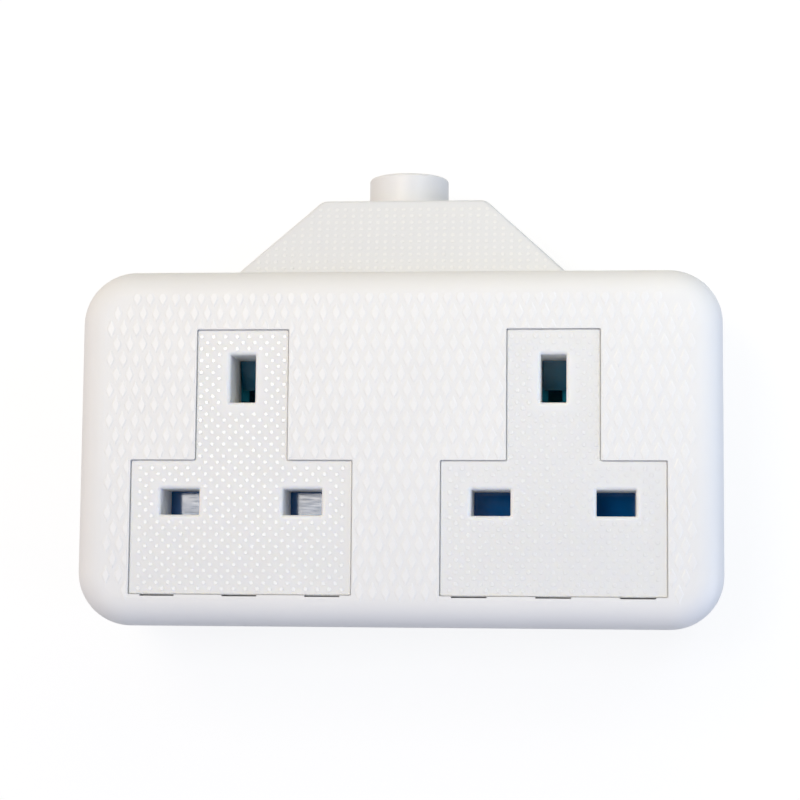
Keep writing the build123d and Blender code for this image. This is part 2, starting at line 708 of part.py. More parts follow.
# Pillar terminals and their slotted screws
terminals = {
    "line": (terminal_pitch, terminal_y, line_strip_z),
    "neutral": (-terminal_pitch, terminal_y, line_strip_z),
    "earth": (0, earth_y, earth_strip_z),
}
for core, (x, y, seat_z) in terminals.items():
    core_z = seat_z + core_hole_height
    with BuildPart() as terminal:
        with BuildSketch(Plane((x, y, seat_z))):
            Rectangle(terminal_size, terminal_size)
        extrude(amount=terminal_height)
        fillet(terminal.edges().filter_by(Axis.Z), terminal_edge)
        with BuildSketch(Plane((x, y, core_z), x_dir=(1, 0, 0), z_dir=(0, -1, 0))):
            Circle(core_hole_radius)
        extrude(amount=terminal_size, both=True, mode=Mode.SUBTRACT)
        with BuildSketch(Plane((x, y, core_z))):
            Circle(terminal_screw_radius + thread_gap)
        extrude(amount=terminal_height, mode=Mode.SUBTRACT)
    terminal.part.label = f"{core}_terminal"
    export_step(terminal.part, f"parts/{core}_terminal.step")

    head_z = seat_z + terminal_height
    with BuildPart() as terminal_screw:
        with BuildSketch(Plane((x, y, core_z + core_hole_radius))):
            Circle(terminal_screw_radius)
        extrude(amount=head_z - core_z - core_hole_radius)
        with BuildSketch(Plane((x, y, head_z))):
            Circle(terminal_head_radius)
        extrude(amount=terminal_head_height)
        with BuildSketch(Plane((x, y, head_z + terminal_head_height))):
            Rectangle(2 * terminal_head_radius, driver_slot_width)
        extrude(amount=-driver_slot_depth, mode=Mode.SUBTRACT)
    terminal_screw.part.label = f"{core}_terminal_screw"
    export_step(terminal_screw.part, f"parts/{core}_terminal_screw.step")

# Cord clamp bar with a tooth that bites the cord
with BuildPart() as cord_clamp_bar:
    with BuildSketch(Plane((0, clamp_y, clamp_seat_z))):
        SlotCenterToCenter(clamp_screw_pitch + clamp_bar_end - clamp_bar_width / 2, clamp_bar_width)
        with GridLocations(clamp_screw_pitch, 1, 2, 1):
            Circle(screw_hole_radius, mode=Mode.SUBTRACT)
    extrude(amount=clamp_bar_thickness)
    with BuildSketch(Plane((0, clamp_y, clamp_seat_z))):
        Rectangle(clamp_tooth_length, clamp_tooth_width)
    extrude(amount=-clamp_tooth_depth)
cord_clamp_bar.part.label = "cord_clamp_bar"
export_step(cord_clamp_bar.part, "parts/cord_clamp_bar.step")


def slotted_screw(seat, length):
    """A cheese-head screw on a seat plane, its head on the plane's far side and its shank below it."""
    with BuildPart(mode=Mode.PRIVATE) as screw:
        with BuildSketch(seat):
            Circle(screw_head_radius)
        extrude(amount=screw_head_height)
        with BuildSketch(seat):
            Circle(screw_radius)
        extrude(amount=-length)
        with BuildSketch(seat.offset(screw_head_height)):
            Rectangle(2 * screw_head_radius, driver_slot_width)
        extrude(amount=-driver_slot_depth, mode=Mode.SUBTRACT)
    return screw.part


# Clamp screws, driven from the front
clamp_head_z = clamp_seat_z + clamp_bar_thickness
with BuildPart() as cord_clamp_screws:
    for turn in (-1, 1):
        add(slotted_screw(Plane((turn * clamp_screw_pitch / 2, clamp_y, clamp_head_z)), clamp_screw_length))
cord_clamp_screws.part.label = "cord_clamp_screws"
export_step(cord_clamp_screws.part, "parts/cord_clamp_screws.step")

# Case screws, driven from the back into the cover's bosses
with BuildPart() as case_screws:
    for x in (-case_screw_x, case_screw_x):
        for y in (-case_screw_y, case_screw_y):
            seat = Plane((x, y, head_recess_depth), x_dir=(1, 0, 0), z_dir=(0, 0, -1))
            add(slotted_screw(seat, case_screw_length))
case_screws.part.label = "case_screws"
export_step(case_screws.part, "parts/case_screws.step")
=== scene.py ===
# %% [markdown]
# # A trailing extension socket
#
# This lesson dresses a two-gang trailing socket: a white moulded case with two T-shaped socket faces,
# dark shutters behind the pin holes, and a tapered cable entry with a round sleeve. The solids come from
# the frame, in metres, and lie on their back: +X is right on the face, +Y points at the cable entry and
# +Z is out of the face. Blender adds what the solids leave out: moulded textures, finishes, light and a
# camera.

# %% Load the frame
import bpy
import json
from math import atan2, hypot, pi, radians
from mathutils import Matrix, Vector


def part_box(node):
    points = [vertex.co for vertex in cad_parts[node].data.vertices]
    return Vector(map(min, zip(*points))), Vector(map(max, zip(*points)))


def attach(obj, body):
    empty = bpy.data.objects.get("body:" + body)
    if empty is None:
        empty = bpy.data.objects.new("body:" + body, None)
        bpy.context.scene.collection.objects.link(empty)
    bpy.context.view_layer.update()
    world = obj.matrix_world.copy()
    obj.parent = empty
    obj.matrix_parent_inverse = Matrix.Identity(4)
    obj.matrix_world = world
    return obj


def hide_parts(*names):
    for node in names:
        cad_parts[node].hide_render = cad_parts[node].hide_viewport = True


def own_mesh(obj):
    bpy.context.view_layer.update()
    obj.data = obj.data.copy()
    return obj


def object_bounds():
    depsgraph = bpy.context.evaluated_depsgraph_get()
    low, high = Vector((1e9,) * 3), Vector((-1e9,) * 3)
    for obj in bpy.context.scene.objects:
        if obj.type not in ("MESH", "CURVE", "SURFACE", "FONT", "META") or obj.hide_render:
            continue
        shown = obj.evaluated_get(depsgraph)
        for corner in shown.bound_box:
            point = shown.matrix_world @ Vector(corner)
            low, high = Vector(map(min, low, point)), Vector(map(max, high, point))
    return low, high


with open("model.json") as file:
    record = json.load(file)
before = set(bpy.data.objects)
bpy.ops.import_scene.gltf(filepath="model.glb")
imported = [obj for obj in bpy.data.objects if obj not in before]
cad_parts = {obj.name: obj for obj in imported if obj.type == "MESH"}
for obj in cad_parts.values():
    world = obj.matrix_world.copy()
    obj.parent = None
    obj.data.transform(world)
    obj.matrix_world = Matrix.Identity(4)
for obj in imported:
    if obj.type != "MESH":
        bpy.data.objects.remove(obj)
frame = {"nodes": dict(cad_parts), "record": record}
nodes = frame["nodes"]
record = frame["record"]
cad_low, cad_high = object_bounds()
scene = bpy.context.scene
MM = 0.001
print("nodes:", len(nodes), "box in mm:", [round((b - a) / MM, 2) for a, b in zip(cad_low, cad_high)])

# %% [markdown]
# ## Camera
#
# The photograph looks almost straight down on the face, from a little to the right and a little below. A
# long lens keeps the sides of the case parallel. A constraint could aim the camera, but its turn about
# each axis is small, so three plain angles say it better: a tip about X, a swing about Y and a slight roll
# of the hand-held camera.

# %% Camera
image_size = 800
sensor_width = 36.0
focal_pixels = 2032.0
camera_place = (36 * MM, -27 * MM, 396 * MM)
camera_tip = radians(5.58)
camera_swing = radians(4.71)
camera_roll = radians(0.43)
camera_shift = -0.04

bpy.ops.object.select_all(action="DESELECT")
bpy.ops.object.camera_add(location=camera_place)
camera = bpy.context.object
camera.name = "socket_camera"
camera.rotation_mode = "ZXY"
camera.rotation_euler = (camera_tip, camera_swing, camera_roll)
camera.data.sensor_width = sensor_width
camera.data.lens = focal_pixels / image_size * sensor_width
camera.data.shift_x = camera_shift
camera.data.clip_start = 10 * MM
scene.camera = camera
scene.view_settings.view_transform = "Standard"
print("lens:", round(camera.data.lens, 1), "mm")

# %% [markdown]
# ## Floor and white background
#
# The case lies on a plain white sheet. A sheet lit only by the lamps would come out grey, so to the camera
# it also glows a little: lit plus glowing adds up to white, and where the case keeps the lamps off, its
# soft shadow stays. For all other light the sheet is a plain grey table, so that little light comes up
# from below and the rounded edges of the case darken towards it.

# %% White sheet
floor_bounce = 0.35
floor_lit = 0.2
floor_glow = 0.83


def seen_directly(tree):
    """A socket that is 1 for what the camera sees straight, in a reflection or through glass, and else 0."""
    path = tree.nodes.new("ShaderNodeLightPath")
    seen = path.outputs["Is Camera Ray"]
    for ray in ("Is Glossy Ray", "Is Transmission Ray"):
        either = tree.nodes.new("ShaderNodeMath")
        either.operation = "MAXIMUM"
        tree.links.new(seen, either.inputs[0])
        tree.links.new(path.outputs[ray], either.inputs[1])
        seen = either.outputs[0]
    return seen


def white_sheet():
    """The floor's material: lit white plus a glow for the camera, plain grey for other light."""
    material = bpy.data.materials.new("white_sheet")
    material.use_nodes = True
    tree = material.node_tree
    tree.nodes.clear()
    bounce = tree.nodes.new("ShaderNodeBsdfDiffuse")
    bounce.inputs["Color"].default_value = (floor_bounce, floor_bounce, floor_bounce, 1)
    lit = tree.nodes.new("ShaderNodeBsdfDiffuse")
    lit.inputs["Color"].default_value = (floor_lit, floor_lit, floor_lit, 1)
    glow = tree.nodes.new("ShaderNodeEmission")
    glow.inputs["Strength"].default_value = floor_glow
    both = tree.nodes.new("ShaderNodeAddShader")
    choice = tree.nodes.new("ShaderNodeMixShader")
    output = tree.nodes.new("ShaderNodeOutputMaterial")
    tree.links.new(lit.outputs[0], both.inputs[0])
    tree.links.new(glow.outputs[0], both.inputs[1])
    tree.links.new(seen_directly(tree), choice.inputs["Fac"])
    tree.links.new(bounce.outputs[0], choice.inputs[1])
    tree.links.new(both.outputs[0], choice.inputs[2])
    tree.links.new(choice.outputs[0], output.inputs["Surface"])
    return material


sheet = white_sheet()
print("sheet glows", floor_glow, "to the camera")

# %% Floor
floor_size = 6.0
floor_gap = 0.05 * MM

bpy.ops.object.select_all(action="DESELECT")
bpy.ops.mesh.primitive_plane_add(size=floor_size, location=(0, 0, cad_low.z - floor_gap))
floor = bpy.context.object
floor.name = "floor_sheet"
floor.data.materials.append(sheet)
print("floor at", round(floor.location.z / MM, 2), "mm")

# %% [markdown]
# ## Light
#
# One large lamp would leave the face evenly flat, so several flat lamps share the work. The softbox hangs
# high on the left, where glossy parts mirror it towards the camera. A small cool lamp hangs close over the
# upper right corner, so that the right half darkens away from the cable end. Two warm lamps hang beyond the
# cable end, one of them far to the left, and a low cool one lights the right-hand side.

# %% Lamps


def panel(name, place, size, radiance, colour, turn=(0, 0, 0)):
    """A rectangular lamp with the given brightness of its surface, which faces down before it is turned."""
    bpy.ops.object.select_all(action="DESELECT")
    bpy.ops.object.light_add(type="AREA", location=place, rotation=turn)
    lamp = bpy.context.object
    lamp.name = name
    lamp.data.shape = "RECTANGLE"
    lamp.data.size, lamp.data.size_y = size
    lamp.data.energy = radiance * pi * size[0] * size[1]
    lamp.data.color = colour


low_turn = (0, radians(77), radians(-18))
lamps = {
    "softbox": dict(place=(-0.175, 0.085, 0.74), size=(0.19, 0.17), radiance=10.0, colour=(1.0, 0.97, 0.92)),
    "near_lamp": dict(place=(0.14, 0.1, 0.2), size=(0.1, 0.1), radiance=3.58, colour=(0.83, 0.93, 1.0)),
    "left_lamp": dict(place=(-0.2, 0.22, 0.5), size=(0.2, 0.18), radiance=4.56, colour=(1.0, 0.71, 0.28)),
    "top_lamp": dict(place=(0.05, 0.3, 0.3), size=(0.2, 0.16), radiance=2.74, colour=(1.0, 0.87, 0.34)),
    "low_lamp": dict(
        place=(0.6, -0.2, 0.17), size=(0.3, 0.3), radiance=5.3, colour=(0.78, 0.84, 1.0), turn=low_turn
    ),
}
for name, look in lamps.items():
    panel(name, **look)
print("lamps:", list(lamps))

# %% [markdown]
# ## Dark card
#
# Glossy parts on the right mirror something dark, as when the camera itself hangs above them. A darker room
# would do that too, but it would darken every other side as well. So a dark card hangs just behind the
# camera, which can't see it.

# %% Dark card
card_place = (0.05, -0.03, 0.41)
card_size = (0.13, 0.2)
card_tone = 0.02

bpy.ops.object.select_all(action="DESELECT")
bpy.ops.mesh.primitive_plane_add(size=1, location=card_place)
card = bpy.context.object
card.name = "dark_card"
card.scale = (*card_size, 1)
card.visible_camera = False
card_finish = bpy.data.materials.new("dark_card")
card_finish.use_nodes = True
card_shader = card_finish.node_tree.nodes["Principled BSDF"]
card_shader.inputs["Base Color"].default_value = (card_tone, card_tone, card_tone, 1)
card_shader.inputs["Specular IOR Level"].default_value = 0.0
card.data.materials.append(card_finish)
print("dark card of", [round(side / MM) for side in card_size], "mm")

# %% [markdown]
# ## Room light
#
# The rest of the light comes from the room: cool from above and warm from the left. A single background
# colour would light all sides alike, so each side glows in its own colour, most in its middle, and the two
# are added. The camera, and what mirrors the room towards it, sees plain white instead.

# %% Room glow
room_sides = {
    "above": ((0, 0, 1), (0.445, 0.54, 0.75)),
    "left": ((-1, 0, 0), (0.83, 0.68, 0.53)),
}


def room_glow(tree):
    """A colour socket for the room's light: each side glows in its own colour, most in its middle."""
    looking = tree.nodes.new("ShaderNodeTexCoord").outputs["Generated"]
    total = None
    for axis, colour in room_sides.values():
        towards = tree.nodes.new("ShaderNodeVectorMath")
        towards.operation = "DOT_PRODUCT"
        towards.inputs[1].default_value = axis
        tree.links.new(looking, towards.inputs[0])
        ahead = tree.nodes.new("ShaderNodeMath")
        ahead.operation = "MAXIMUM"
        ahead.inputs[1].default_value = 0.0
        tree.links.new(towards.outputs["Value"], ahead.inputs[0])
        side = tree.nodes.new("ShaderNodeVectorMath")
        side.operation = "SCALE"
        side.inputs[0].default_value = colour
        tree.links.new(ahead.outputs[0], side.inputs["Scale"])
        if total is None:
            total = side.outputs[0]
        else:
            added = tree.nodes.new("ShaderNodeVectorMath")
            tree.links.new(total, added.inputs[0])
            tree.links.new(side.outputs[0], added.inputs[1])
            total = added.outputs[0]
    return total


world = bpy.data.worlds.new("pale_room")
world.use_nodes = True
sky = world.node_tree
sky.nodes.clear()
room = sky.nodes.new("ShaderNodeBackground")
sky.links.new(room_glow(sky), room.inputs["Color"])
print("room sides:", list(room_sides))

# %% White backdrop
backdrop = sky.nodes.new("ShaderNodeBackground")
backdrop.inputs["Color"].default_value = (1, 1, 1, 1)
backdrop.inputs["Strength"].default_value = 1.0
sky_choice = sky.nodes.new("ShaderNodeMixShader")
sky_output = sky.nodes.new("ShaderNodeOutputWorld")
sky.links.new(seen_directly(sky), sky_choice.inputs["Fac"])
sky.links.new(room.outputs[0], sky_choice.inputs[1])
sky.links.new(backdrop.outputs[0], sky_choice.inputs[2])
sky.links.new(sky_choice.outputs[0], sky_output.inputs["Surface"])
scene.world = world
print("world:", world.name)

# %% [markdown]
# ## Finishes
#
# Moulded plastic is never one flat colour: the melt leaves faint clouds in the tone, and the tool leaves a
# fine grain that breaks up the gloss. A painted image would need every solid unfolded first, so both are
# noise on Object coordinates, which stays put on the part. One function makes every plastic from two tones,
# a range of roughness and a grain. The raised dots and diamonds are glossier than the faces that carry
# them, because what stands out is touched and polished most. They are also a little paler, which is
# painted highlight.

# %% Noise on the part
noise_low = 0.3
noise_high = 0.7


def noise_on_part(tree, size, stretch=1.0):
    """Noise with lumps of about the given size in metres, fixed to the part and stretched along X."""
    place = tree.nodes.new("ShaderNodeTexCoord")
    drawn = tree.nodes.new("ShaderNodeMapping")
    drawn.inputs["Scale"].default_value = (1 / stretch, 1, 1)
    noise = tree.nodes.new("ShaderNodeTexNoise")
    noise.inputs["Scale"].default_value = 1 / size
    tree.links.new(place.outputs["Object"], drawn.inputs["Vector"])
    tree.links.new(drawn.outputs["Vector"], noise.inputs["Vector"])
    return noise.outputs["Fac"]


def vary(tree, source, socket, low, high):
    """Lets a noise move a number socket between two values."""
    span = tree.nodes.new("ShaderNodeMapRange")
    span.inputs["From Min"].default_value = noise_low
    span.inputs["From Max"].default_value = noise_high
    span.inputs["To Min"].default_value = low
    span.inputs["To Max"].default_value = high
    tree.links.new(source, span.inputs["Value"])
    tree.links.new(span.outputs["Result"], socket)


def tint(tree, source, socket, first, second):
    """Lets a noise move a colour socket between two colours."""
    ramp = tree.nodes.new("ShaderNodeValToRGB")
    ramp.color_ramp.elements[0].position = noise_low
    ramp.color_ramp.elements[1].position = noise_high
    ramp.color_ramp.elements[0].color = (*first, 1)
    ramp.color_ramp.elements[1].color = (*second, 1)
    tree.links.new(source, ramp.inputs["Fac"])
    tree.links.new(ramp.outputs["Color"], socket)


def grain_bump(tree, shader, size, depth, stretch=1.0):
    """A fine surface grain of the given lump size and depth in metres, drawn out along X by the stretch."""
    bump = tree.nodes.new("ShaderNodeBump")
    bump.inputs["Distance"].default_value = depth
    tree.links.new(noise_on_part(tree, size, stretch), bump.inputs["Height"])
    tree.links.new(bump.outputs["Normal"], shader.inputs["Normal"])


print("noise runs from", noise_low, "to", noise_high)

# %% Moulded plastic
cloud_size = 14 * MM
gloss_size = cloud_size / 6


def new_finish(name):
    """An empty principled material, with its node tree and shader."""
    material = bpy.data.materials.new(name)
    material.use_nodes = True
    tree = material.node_tree
    return material, tree, tree.nodes["Principled BSDF"]


def plastic(name, tones, gloss, grain, depth, stretch=1.0, shine=0.5):
    """A moulded plastic: two tones that cloud into each other, a range of roughness and a surface grain."""
    material, tree, shader = new_finish(name)
    shader.inputs["Specular IOR Level"].default_value = shine
    tint(tree, noise_on_part(tree, cloud_size), shader.inputs["Base Color"], *tones)
    vary(tree, noise_on_part(tree, gloss_size), shader.inputs["Roughness"], *gloss)
    grain_bump(tree, shader, grain, depth, stretch)
    return material


print("clouds of", cloud_size / MM, "mm")

# %% Plastics
cover_tones = ((0.835, 0.835, 0.835), (0.85, 0.85, 0.848))
insert_tones = ((0.84, 0.846, 0.85), (0.854, 0.86, 0.863))
base_tones = ((0.76, 0.77, 0.79), (0.775, 0.785, 0.8))
sleeve_tones = ((0.78, 0.78, 0.79), (0.795, 0.795, 0.805))
navy_tones = ((0.0008, 0.085, 0.26), (0.0012, 0.093, 0.285))
# A little paler than the insert: painted highlight, added to the dots' real gloss
dot_tones_with_painted_highlight = ((0.862, 0.866, 0.868), (0.876, 0.88, 0.881))
neck_dot_tones = ((0.81, 0.815, 0.825), (0.825, 0.83, 0.838))
# A little paler than the cover: painted highlight, added to the diamonds' real gloss
diamond_tones_with_painted_highlight = ((0.855, 0.855, 0.855), (0.87, 0.87, 0.868))
# Teal for the earth strip: painted shade, the blue-green cast deep in the earth holes
earth_shade_tones = ((0.012, 0.42, 0.58), (0.016, 0.45, 0.62))
guide_tones = ((0.66, 0.66, 0.64), (0.7, 0.7, 0.68))
satin = (0.44, 0.54)
plastic_looks = {
    "cover_plastic": dict(tones=cover_tones, gloss=satin, grain=0.16 * MM, depth=0.01 * MM),
    "insert_plastic": dict(tones=insert_tones, gloss=satin, grain=0.16 * MM, depth=0.008 * MM),
    "base_plastic": dict(tones=base_tones, gloss=satin, grain=0.16 * MM, depth=0.01 * MM),
    "sleeve_plastic": dict(tones=sleeve_tones, gloss=(0.34, 0.42), grain=0.3 * MM, depth=0.006 * MM),
    "shutter_plastic": dict(
        tones=navy_tones, gloss=(0.07, 0.12), grain=0.2 * MM, depth=0.004 * MM, stretch=12, shine=0.6
    ),
    "guide_plastic": dict(tones=guide_tones, gloss=(0.45, 0.55), grain=0.2 * MM, depth=0.01 * MM),
    "polished_dots_painted_highlight": dict(tones=dot_tones_with_painted_highlight, gloss=(0.24, 0.28), grain=0.3 * MM, depth=0.001 * MM),
    "satin_diamonds_painted_highlight": dict(tones=diamond_tones_with_painted_highlight, gloss=(0.35, 0.41), grain=0.3 * MM, depth=0.002 * MM),
    "satin_dots": dict(tones=neck_dot_tones, gloss=(0.3, 0.36), grain=0.3 * MM, depth=0.002 * MM),
    "earth_painted_shade": dict(tones=earth_shade_tones, gloss=(0.5, 0.6), grain=0.3 * MM, depth=0.004 * MM),
}
finishes = {name: plastic(name, **look) for name, look in plastic_looks.items()}
print("plastics:", sorted(finishes))

# %% [markdown]
# ## Light through the socket inserts
#
# White plastic lets some light in, which comes out again nearby. That is why the walls of the pin holes are
# bright near the face and have a soft cool rim. Painting a pale rim would be wrong from other sides, so the
# inserts get real subsurface scattering with a short reach.

# %% Light through the socket inserts
glow_through = 0.6
glow_reach = 0.9 * MM
glow_tint = (0.9, 1.0, 1.3)

insert_shader = finishes["insert_plastic"].node_tree.nodes["Principled BSDF"]
insert_shader.inputs["Subsurface Weight"].default_value = glow_through
insert_shader.inputs["Subsurface Radius"].default_value = glow_tint
insert_shader.inputs["Subsurface Scale"].default_value = glow_reach
print("light reaches", glow_reach / MM, "mm into the inserts")

# %% [markdown]
# ## Shutters
#
# The dark slides behind the pin holes are glossy, with fine streaks across them that the melt left as it
# flowed. Scratches could be modelled, but they are too fine to see one by one, so a noise that is drawn out
# along X makes the mirrored light stronger and weaker in turns. Deep in the earth holes the shade looks more
# green than blue, so along Y the ramps under them fade into a teal that is painted shade.

# %% Streaks on the shutters
streak_size = 0.22 * MM
streak_stretch = 14
streak_shine = (0.35, 0.85)

shutter_tree = finishes["shutter_plastic"].node_tree
shutter_shine = shutter_tree.nodes["Principled BSDF"].inputs["Specular IOR Level"]
vary(shutter_tree, noise_on_part(shutter_tree, streak_size, streak_stretch), shutter_shine, *streak_shine)
print("streaks of", streak_size / MM, "mm")

# %% Ramps of the shutters
# The teal that the ramps fade into is painted shade, the blue-green cast deep in the earth holes
ramp_painted_shade = (0.001, 0.12, 0.21)
ramp_begins = -4 * MM
ramp_full = 6 * MM


def fade_along_y(tree, socket, begins, full, tone):
    """Fades a colour socket into another tone between two places along Y."""
    place = tree.nodes.new("ShaderNodeTexCoord")
    parts = tree.nodes.new("ShaderNodeSeparateXYZ")
    span = tree.nodes.new("ShaderNodeMapRange")
    span.inputs["From Min"].default_value = begins
    span.inputs["From Max"].default_value = full
    blend = tree.nodes.new("ShaderNodeMixRGB")
    blend.inputs["Color2"].default_value = (*tone, 1)
    tree.links.new(place.outputs["Object"], parts.inputs[0])
    tree.links.new(parts.outputs["Y"], span.inputs["Value"])
    tree.links.new(span.outputs["Result"], blend.inputs["Fac"])
    tree.links.new(socket.links[0].from_socket, blend.inputs["Color1"])
    tree.links.new(blend.outputs["Color"], socket)


shutter_colour = shutter_tree.nodes["Principled BSDF"].inputs["Base Color"]
fade_along_y(shutter_tree, shutter_colour, ramp_begins, ramp_full, ramp_painted_shade)
print("ramps change tone from", ramp_begins / MM, "to", ramp_full / MM, "mm")

# %% [markdown]
# ## Metals
#
# Contacts, springs and screws are inside, and show only through the holes or from the back. They are plain
# metals with the marks of forming, and noise gives these too. Deep in the earth holes the shade looks
# blue-green, so instead of bare brass the earth strip gets a teal plastic finish that is painted shade.

# %% Metals
grains_per_tone = 8
grains_per_gloss = 3


def metal(name, tones, gloss, grain, depth):
    """A worked metal: two tones, a range of roughness and the marks of forming."""
    material, tree, shader = new_finish(name)
    shader.inputs["Metallic"].default_value = 1.0
    tint(tree, noise_on_part(tree, grain * grains_per_tone), shader.inputs["Base Color"], *tones)
    vary(tree, noise_on_part(tree, grain * grains_per_gloss), shader.inputs["Roughness"], *gloss)
    grain_bump(tree, shader, grain, depth)
    return material


brass_tones = ((0.12, 0.11, 0.08), (0.16, 0.15, 0.11))
wire_tones = ((0.55, 0.55, 0.56), (0.64, 0.64, 0.65))
zinc_tones = ((0.58, 0.58, 0.55), (0.68, 0.68, 0.66))
metal_looks = {
    "contact_brass": dict(tones=brass_tones, gloss=(0.42, 0.55), grain=0.3 * MM, depth=0.004 * MM),
    "spring_steel": dict(tones=wire_tones, gloss=(0.2, 0.3), grain=0.1 * MM, depth=0.002 * MM),
    "screw_steel": dict(tones=zinc_tones, gloss=(0.28, 0.4), grain=0.2 * MM, depth=0.004 * MM),
}
for name, look in metal_looks.items():
    finishes[name] = metal(name, **look)
for subpart in record["subparts"]:
    for slot in nodes[subpart["node"]].material_slots:
        slot.material = finishes[subpart["material_slot"]]
# Instead of brass, the earth strip gets the painted teal shade of the earth holes
for slot in nodes["earth_busbar"].material_slots:
    slot.material = finishes["earth_painted_shade"]
print("metals:", list(metal_looks))

# %% [markdown]
# ## Copying one small shape many times
#
# The dots and diamonds of the moulded texture are all alike, so each is modelled once and then copied to
# its places. An Array modifier can't leave out the places around the holes, so a loop sets the copies down.
# Those of one field are joined into one piece whose origin is the frame's origin.

# %% Copying helper


def spread_copies(model, name, places, tilt=0.0):
    """Copies a small model to each place, tilted about X, and joins the copies into one piece."""
    copies = []
    for place in places:
        copy = model.copy()
        copy.data = model.data.copy()
        copy.location = place
        copy.rotation_euler = (tilt, 0, 0)
        scene.collection.objects.link(copy)
        copies.append(copy)
    bpy.ops.object.select_all(action="DESELECT")
    for copy in copies:
        copy.select_set(True)
    bpy.context.view_layer.objects.active = copies[0]
    bpy.ops.object.join()
    bpy.ops.object.transform_apply(location=True, rotation=True, scale=True)
    piece = bpy.context.object
    piece.name = name
    piece.data.name = name
    print(name, "has", len(places), "copies and", len(piece.data.polygons), "faces")
    return piece


def dress(piece, finish):
    """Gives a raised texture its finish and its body."""
    piece.data.materials.clear()
    piece.data.materials.append(finishes[finish])
    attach(piece, "housing")


# %% [markdown]
# ## Dots on the socket faces
#
# Each T-shaped face carries a lattice of small raised dots, cut away around the pin holes. A dot is a low
# button: a short cylinder whose top edge is rounded by a bevel. Its flat polished top mirrors the softbox
# where the angle is right, which is why the dots sparkle on one face and fade on the other.

# %% One dot
dot_sunk = 0.06 * MM
dot_sides = 10
dot_rounding = 0.9
rounding_steps = 2


def model_dot(name, radius, height):
    """A low round button with a rounded top edge, sunk a little into what carries it."""
    bpy.ops.object.select_all(action="DESELECT")
    depth = height + dot_sunk
    bpy.ops.mesh.primitive_cylinder_add(vertices=dot_sides, radius=radius, depth=depth)
    bpy.ops.transform.translate(value=(0, 0, height - depth / 2))
    bpy.ops.object.transform_apply(location=True, rotation=False, scale=False)
    dot = bpy.context.object
    dot.name = name
    bpy.ops.object.mode_set(mode="EDIT")
    bpy.ops.mesh.select_mode(type="EDGE")
    bpy.ops.mesh.select_all(action="DESELECT")
    bpy.ops.object.mode_set(mode="OBJECT")
    tops = {v.index for v in dot.data.vertices if v.co.z > height / 2}
    for edge in dot.data.edges:
        edge.select = set(edge.vertices) <= tops
    bpy.ops.object.mode_set(mode="EDIT")
    bpy.ops.mesh.bevel(offset=height * dot_rounding, segments=rounding_steps, affect="EDGES")
    bpy.ops.object.mode_set(mode="OBJECT")
    bpy.ops.object.shade_flat()
    return dot


face_dot = model_dot("face_dot", radius=0.38 * MM, height=0.04 * MM)
print("one dot has", len(face_dot.data.polygons), "faces")

# %% [markdown]
# The T of a socket face is read from the insert's box and the pin holes. Dots stand in rows half a pitch
# apart, with every second row moved sideways, and those near the edge or a pin hole are left out.

# %% T faces and pin holes
sides = ("left", "right")
insert_flange = 1.0 * MM
stem_half = 8.25 * MM
shoulder_above_pins = 7.4 * MM
pin_holes = {o["name"]: o["box_m"] for o in record["physics"]["openings"] if o["name"].endswith("pin_hole")}


def face_outline(side):
    """The T of one socket face: middle X, half bar width, bottom, shoulder, top and height."""
    low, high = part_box(side + "_socket_insert")
    line_low, line_high = pin_holes[side + "_line_pin_hole"]
    shoulder = (line_low[1] + line_high[1]) / 2 + shoulder_above_pins
    half_bar = (high.x - low.x) / 2 - insert_flange
    return (low.x + high.x) / 2, half_bar, low.y + insert_flange, shoulder, high.y - insert_flange, high.z


outlines = {side: face_outline(side) for side in sides}
print("T faces are", [round(2 * outline[1] / MM, 2) for outline in outlines.values()], "mm wide")

# %% Dots on both faces
dot_pitch = 2.16 * MM
dot_row = dot_pitch / 2
dot_margin = 0.65 * MM
hole_margin = 1.2 * MM
first_row_below_shoulder = 1.34 * MM


def near_hole(x, y, side):
    """Whether a point of the face lies in a pin hole or on the smooth margin around it."""
    for name, (low, high) in pin_holes.items():
        across = low[0] - hole_margin < x < high[0] + hole_margin
        if name.startswith(side) and across and low[1] - hole_margin < y < high[1] + hole_margin:
            return True
    return False


def face_dot_places(side):
    """Places of the dots on one T face, in a lattice of rows with every second row moved half a pitch."""
    middle, half_bar, bottom, shoulder, top, height = outlines[side]
    first_row = shoulder - first_row_below_shoulder
    places = []
    rows_up = int((top - first_row) / dot_row) + 1
    rows_down = int((first_row - bottom) / dot_row) + 1
    columns = int(half_bar / dot_pitch) + 1
    for row in range(-rows_down, rows_up):
        y = first_row + row * dot_row
        half = half_bar if y < shoulder - dot_margin / 2 else stem_half
        offset = 0.5 if row % 2 == 0 else 0.0
        for column in range(-columns - 1, columns + 1):
            x = (column + offset) * dot_pitch
            inside = abs(x) < half - dot_margin and bottom + dot_margin < y < top - dot_margin
            if inside and not near_hole(middle + x, y, side):
                places.append((middle + x, y, height))
    return places


for side in sides:
    dots = spread_copies(face_dot, side + "_face_dots", face_dot_places(side))
    dress(dots, "polished_dots_painted_highlight")
bpy.data.objects.remove(face_dot)

# %% [markdown]
# ## Seats around the socket faces
#
# A narrow gap runs around each T face. It is not a deep black slot: a pale ledge of the moulding lies a
# little below the face and sends back the light that falls in. Only the strip under the gap is needed, so a
# flat T is drawn by bisecting a plane and extruding its middle, and an inset then leaves a ring with an
# open middle.

# %% Flat T of a seat
bottom_gap = 0.12 * MM
seat_depth = 0.48 * MM
cut_tolerance = 0.001 * MM


